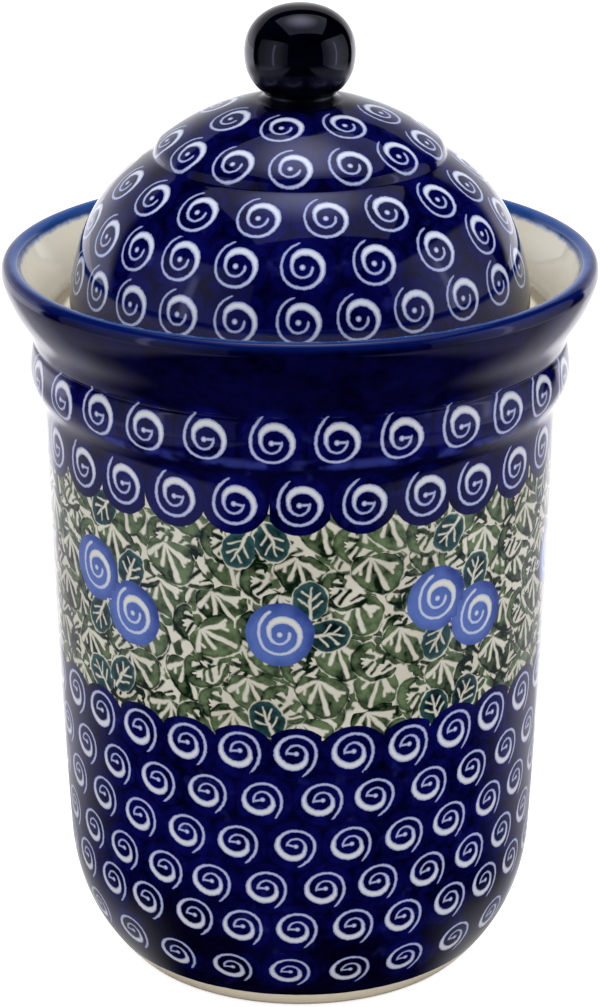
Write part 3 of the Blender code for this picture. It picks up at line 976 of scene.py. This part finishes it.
def ring(count, first, q, sway=0.0, spread=0.0, turn=0.0, loose=3.5, lean=0.0, drift=0.0, size=1.0):
    """Stamps evenly round the jar, with the small unevenness of a hand."""
    stamps = []
    for number in range(count):
        angle = math.radians(first) + 2 * math.pi * number / count
        angle += math.radians(spread * math.sin(angle) - drift * math.cos(2 * angle) + random.gauss(0, 0.25))
        at = q - sway * math.cos(2 * angle) + lean * math.sin(angle) + random.gauss(0, 0.18)
        twist = math.radians(turn + random.gauss(0, loose))
        stamps.append((angle, at, twist, CENTRED, size))
    return stamps


# scallops: how far up from its spiral each disc's middle lies, and its radius
UPPER_SCALLOP = (1.0, 9.6)
LOWER_SCALLOP = (-3.1, 10.8)
# the rows under the scallops: how many stamps, degrees to the first, height, and how much the row sways
LOWER_ROWS = (
    (28, 4.7, 76.1, 0.9), (28, -1.2, 62.8, 2.0), (28, 5.6, 49.4, 2.0), (28, -0.25, 36.7, 2.0), (24, -2.3, 21.2, 2.4),
)
collar_row = ring(27, 7.4, 181.2)
upper_row = ring(26, -0.25, 161.6)
lower_row = ring(28, -0.7, 90.3, 1.1, turn=180, size=0.95)
scallops = [
    (a, q + up_by, 0, CENTRED, radius)
    for row, (up_by, radius) in ((upper_row, UPPER_SCALLOP), (lower_row, LOWER_SCALLOP)) for a, q, *_ in row
]
spirals = collar_row + upper_row + lower_row
for count, first, q, sway in LOWER_ROWS:
    spirals += ring(count, first, q, sway, 1.1, 180, 5.0, size=0.87)

# blossoms, in pairs and single: degrees round and millimetres up
PAIRS = (
    ((-51.6, 133.5), (-40.0, 124.2)), ((31.5, 131.1), (42.9, 123.2)), ((121, 131.5), (132.6, 123.0)),
    ((-142, 132.0), (-130.5, 123.6)),
)
SINGLES = ((-4.4, 124.7), (79, 126.5), (169, 125.5), (-97, 125.0))
groups = [group for pair, single in zip(PAIRS, SINGLES) for group in (pair, (single,))]
blossoms = [
    (math.radians(a), q, math.radians(random.gauss(0, 6)), CENTRED, random.random())
    for group in groups for a, q in group
]
# dark leaves beside a pair of blossoms and beside a single one: degrees round, millimetres up, turn
PAIR_TEALS = ((3, 18.4, -30), (11, 4.6, 165), (0.2, -13.4, -30), (0, -31.5, 200), (8, -29, 165))
SINGLE_TEALS = ((-8.8, 23.5, -35), (-1.5, 26, 35), (6.3, 9.9, 170), (11.3, -0.2, 90), (-3, -25.3, 200))
teals = []
for group in groups:
    angle, q = group[0]
    for round_by, up_by, turn in PAIR_TEALS if len(group) == 2 else SINGLE_TEALS:
        at = math.radians(angle + round_by + random.gauss(0, 0.5))
        turn = math.radians(turn + random.gauss(0, 10))
        teals.append((at, q + up_by + random.gauss(0, 0.5), turn, CENTRED, random.random()))

# the leaf stamp's middle from its stem
LEAF_MIDDLE = (-2.9, -7.4)
# the sparse under layer and the close upper ones: columns, rows, the lowest row's height and the step between rows
UNDER_GRID = (15, 4, 106.0, 17.0)
LEAF_GRID = (24, 6, 101.5, 11.6)
leaves = [[] for _ in LEAF_LAYERS]
columns, rows, lowest, step = UNDER_GRID
for row in range(rows):
    for column in range(columns):
        angle = 2 * math.pi * (column + row * 0.5 + random.uniform(-0.1, 0.1)) / columns
        turn = math.radians(random.gauss(0, 20))
        at = lowest + step * row + random.uniform(-1.5, 1.5)
        leaves[0].append((angle, at, turn, LEAF_MIDDLE, random.random()))
columns, rows, lowest, step = LEAF_GRID
for column in range(columns):
    lift = random.uniform(-1.6, 1.6)
    for row in range(rows):
        angle = 2 * math.pi * (column + row * 0.25 + random.uniform(-0.05, 0.05)) / columns
        at = lowest + step * row + lift + random.uniform(-1, 1)
        turn = math.radians(random.gauss(0, 9) if random.random() < 0.85 else random.uniform(-50, 50))
        leaves[1 + (column - row) % 3].append((angle, at, turn, LEAF_MIDDLE, random.random()))

# how far from a stamp's middle its layer reaches
SPIRAL_REACH = 14
TEAL_REACH = 8
LEAF_REACH = 16.5
places = mesh_places(jar, jar_corners, 0.5, LIP_TOP_Q)
for name, stamps, stamp_reach in (
    ("stamp", spirals, SPIRAL_REACH), ("scallop", scallops, SPIRAL_REACH), ("blossom", blossoms, SPIRAL_REACH),
    ("teal", teals, TEAL_REACH), *((name, stamps, LEAF_REACH) for name, stamps in zip(LEAF_LAYERS, leaves)),
):
    stamp_layer(jar, name, jar_skin, stamps, stamp_reach, *places)
jar.data.materials.append(jar_material())
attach(jar, "jar")
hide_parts("jar_body")

# ------ the lid and its knob

outside = dense(lid_outside())
# the length from which the lid's inside counts on (m), past all of its outside, and a limit between them (mm)
LID_INSIDE_START = 0.5
LID_INSIDE_Q = 400.0
# how much of the seat, at the end of the inside, is bare clay
LID_BARE_WIDTH = 3.0
inside = dense(lid_inside(), LID_INSIDE_START)
lid_rows = np.concatenate([outside, inside[1:-1]])
LID_BARE_Q = LID_INSIDE_START / MM + (along(lid_inside())[-1] / MM) - LID_BARE_WIDTH
LID_TOP_Q = outside[-1, 2] / MM
lid_skin = Skin(outside, SEAT_HEIGHT)
lid_rows = thinned(
    glazed(lid_rows, True), lambda length: STAMP_SPACING if length < LID_INSIDE_Q * MM else PLAIN_SPACING
)
lid, lid_corners = turned("lid_glazed", lid_rows, SEGMENTS, SEAT_HEIGHT, True)
# the lid's rings: how many stamps, degrees to the first, height, and how much the ring leans and drifts
LID_RINGS = (
    (24, -0.8, 18.5, 1.2, 0), (20, 4.3, 32.8, 1.2, 3.6), (17, 8.0, 46.7, 0.6, 0), (14, -4.0, 62.9, 0.4, 0),
    (8, -12.6, 78.3, 0, 0),
)
spirals = []
for count, first, q, lean, drift in LID_RINGS:
    spirals += ring(count, first, q, lean=lean, loose=6.0, drift=drift)
stamp_layer(lid, "stamp", lid_skin, spirals, SPIRAL_REACH, *mesh_places(lid, lid_corners, 1.0, LID_INSIDE_Q))
lid.data.materials.append(lid_material())
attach(lid, "lid")
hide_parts("lid_dome")

knob_rows = thinned(glazed(dense(knob_section()), False), lambda length: KNOB_SPACING)
knob, _ = turned("knob_glazed", knob_rows, KNOB_SEGMENTS, KNOB_BOTTOM)
knob.data.materials.append(knob_material())
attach(knob, "lid")
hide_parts("lid_knob")

# ------ camera, light and floor

CAMERA_PLACE = (0, -0.900, 0.47584)
CAMERA_LOOKS_DOWN = math.radians(20.8886)
CAMERA_LENS = 121.22
SENSOR_WIDTH = 36
# the world's light from the sides, and what is added from above
FILL = 0.64
FILL_ABOVE = 0.68
# the light tent: how far it is turned, and its walls' middles in its own axes, sizes and brightness
TENT_TURN = math.radians(11)
TENT_SIDE_PLACE = (0.55, -0.3, 0.38)
TENT_SIDE_SIZE = (0.9, 0.76)
TENT_TOP_PLACE = (0.07, 0.03, 0.82)
TENT_TOP_SIZE = (0.71, 0.65)
LEFT_BRIGHTNESS = 0.45
RIGHT_BRIGHTNESS = 0.75
# watts per square metre of a panel that glows at strength 1
PANEL_WATTS = math.pi
FLOOR_REACH = 6.0
FLOOR_WHITE = (0.85, 0.82, 0.87)
FLOOR_DARK = (0.006, 0.006, 0.006)
FLOOR_LIFT = 0.6

camera = placed("camera", bpy.data.cameras.new("camera"))
camera.location = CAMERA_PLACE
camera.rotation_euler = (math.pi / 2 - CAMERA_LOOKS_DOWN, 0, 0)
camera.data.lens = CAMERA_LENS
camera.data.sensor_width = SENSOR_WIDTH
scene.camera = camera

TENT_X = np.array([math.cos(TENT_TURN), math.sin(TENT_TURN), 0])
TENT_Y = np.array([-math.sin(TENT_TURN), math.cos(TENT_TURN), 0])
UP = np.array([0, 0, 1.0])


def panel(name, place, across, up, size, glow):
    """One lit wall of the light tent, facing along across x up, at a place in the tent's axes.

    glow gives its brightness at a point on it, from the point's distances to its middle in metres.
    """
    lamp = bpy.data.lights.new(name, "AREA")
    lamp.shape = "RECTANGLE"
    lamp.size, lamp.size_y = size
    lamp.energy = PANEL_WATTS * size[0] * size[1]
    lamp.use_nodes = True
    tree = lamp.node_tree
    u, v, _ = split(Number(tree, tree.nodes.new("ShaderNodeNewGeometry").outputs["Parametric"]))
    put(tree.nodes["Emission"].inputs["Strength"], glow((u - 0.5) * size[0], (v - 0.5) * size[1]))
    holder = placed(name, lamp)
    facing = np.cross(across, up)
    turn = np.identity(4)
    turn[:3, :3] = np.stack([across, up, facing], 1)
    turn[:3, 3] = place[0] * TENT_X + place[1] * TENT_Y + place[2] * UP
    holder.matrix_world = Matrix(turn.tolist())
    holder.visible_camera = False


def top_glow(x, y):
    """An even wall with one soft bright spot."""
    return distance(x + 0.04, y - 0.06).ramp(0.28, 0.0) * 2.4 + 0.5


def side_glow(base, way):
    """A wall with an upright tube behind it, and one lower corner cut off dark."""

    def glow(x, y):
        x = x * way
        tube = (x - 0.07).size().ramp(0.04, 0.004) * (y - 0.09).size().ramp(0.26, 0.18)
        wide = (x - 0.07).size().ramp(0.42, 0.0) * 0.65 + 0.35
        corner = (x * 0.4 - y).ramp(0.3, 0.26)
        return (wide * base + tube * 1.1) * corner

    return glow


left, right = ((side * TENT_SIDE_PLACE[0], *TENT_SIDE_PLACE[1:]) for side in (-1, 1))
panel("tent_top", TENT_TOP_PLACE, TENT_X, TENT_Y, TENT_TOP_SIZE, top_glow)
panel("tent_left", left, TENT_Y, -UP, TENT_SIDE_SIZE, side_glow(LEFT_BRIGHTNESS, 1))
panel("tent_right", right, -TENT_Y, -UP, TENT_SIDE_SIZE, side_glow(RIGHT_BRIGHTNESS, -1))


def tent_axes(x, y, z):
    """A direction or place in the tent's own axes."""
    return x * TENT_X[0] + y * TENT_X[1], x * TENT_Y[0] + y * TENT_Y[1], z


def rays(tree):
    """Whether a ray comes from the camera, and whether from a gloss."""
    path = tree.nodes.new("ShaderNodeLightPath")
    return Number(tree, path.outputs["Is Camera Ray"]), Number(tree, path.outputs["Is Glossy Ray"])


world = bpy.data.worlds.new("studio")
world.use_nodes = True
scene.world = world
tree = world.node_tree
x, y, z = tent_axes(*split(coordinates(tree, "Generated")))
camera_ray, glossy = rays(tree)
# a gloss sees a pale backdrop behind the object, and dark room above and beside it
aside = x.size() * 0.62 + z.most(0.0) * 0.5
backdrop = (y - aside).ramp(-0.1, 0.1) * (y * 0.82 - z).ramp(-0.02, 0.02)
backdrop = backdrop * (z.ramp(0.5, 0.0) * 0.7 + 0.3)
level = (1.0 - glossy) * (z.most(0.0) * FILL_ABOVE + FILL) + glossy * backdrop
level = level + camera_ray * (1.0 - level)
background = tree.nodes["Background"]
background.inputs[0].default_value = (1, 1, 1, 1)
put(background.inputs[1], level)

floor_mesh = bpy.data.meshes.new("floor")
floor_corners = [(x * FLOOR_REACH, y * FLOOR_REACH, 0) for x, y in ((-1, -1), (1, -1), (1, 1), (-1, 1))]
floor_mesh.from_pydata(floor_corners, [], [(0, 1, 2, 3)])
floor = placed("floor", floor_mesh)
material, tree, shader = new_material("floor_paper")
x, y, z = split(coordinates(tree, "Object"))
along_x, along_y, _ = tent_axes(x, y, z)
camera_ray, glossy = rays(tree)
# what a gloss sees of the floor: paper lit behind the object and at its sides, near the object and further off
far = distance(x, y).most(0.01)
behind = y / far
near = far.ramp(0.9, 0.5)
sides = x.size().ramp(0.2, 0.28) * (x.ramp(0.1, -0.1) * 0.04 + 0.19)
lit = (behind.ramp(0.7, 0.82) * 0.42 + behind.ramp(-0.3, 0.75) * 0.42).most(sides) * near
lit = lit + (1.0 - near) * (along_y - along_x.size() * 0.6).ramp(-0.05, 0.05)
foot_glow = far.ramp(0.115, 0.065) * behind.ramp(-0.8, -0.45) * 0.42
seen_lit = lit * (far.ramp(0.12, 0.18) * 0.14 + 0.45) + foot_glow
put(shader.inputs["Base Color"], mix(glossy * (1.0 - lit), FLOOR_WHITE, FLOOR_DARK))
shader.inputs["Roughness"].default_value = 0.9
shader.inputs["Specular IOR Level"].default_value = 0.0
put(shader.inputs["Emission Strength"], camera_ray * FLOOR_LIFT + glossy * seen_lit)
shader.inputs["Emission Color"].default_value = (1, 1, 1, 1)
floor_mesh.materials.append(material)

scene.view_settings.view_transform = "Standard"
